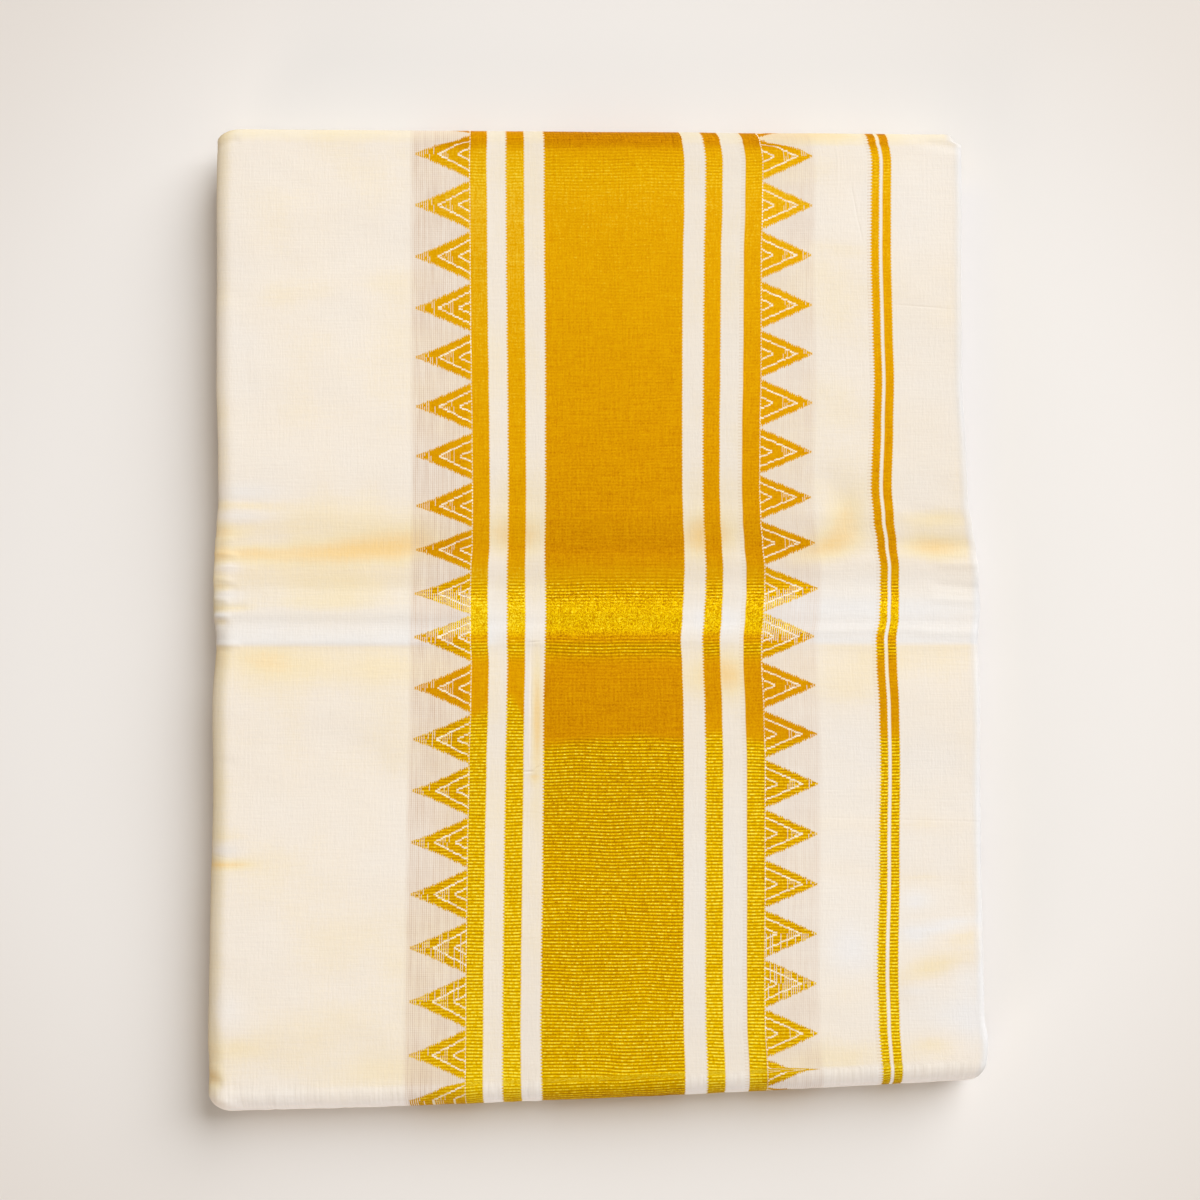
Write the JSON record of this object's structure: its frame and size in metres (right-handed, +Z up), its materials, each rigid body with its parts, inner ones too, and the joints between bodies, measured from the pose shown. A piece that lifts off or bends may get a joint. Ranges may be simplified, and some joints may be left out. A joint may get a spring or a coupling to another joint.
{
  "type": "folded kasavu saree",
  "caption": "Folded cotton saree pack lying flat, pallu side up, with woven gold bands, temple-pattern edges and a storage crease across the top.",
  "frame": {"origin": "middle of the folded pack's underside, on the surface it rests on", "axes": "+Z up out of the top face, +Y towards the back fold, along the saree's width and its gold bands, +X across the bands towards the thin pair of stripes"},
  "size_m": [0.3108, 0.3988, 0.0189],
  "materials": {
    "pallu_cloth": "matte fine cotton with woven gold zari bands",
    "body_cotton": "matte fine cotton, unbleached"
  },
  "bodies": {
    "root": {"face_stretch": "pallu_cloth", "front_turn": "pallu_cloth", "back_turn": "pallu_cloth", "under_stretch": "pallu_cloth", "hidden_layers": "body_cotton"}
  },
  "joints": []
}
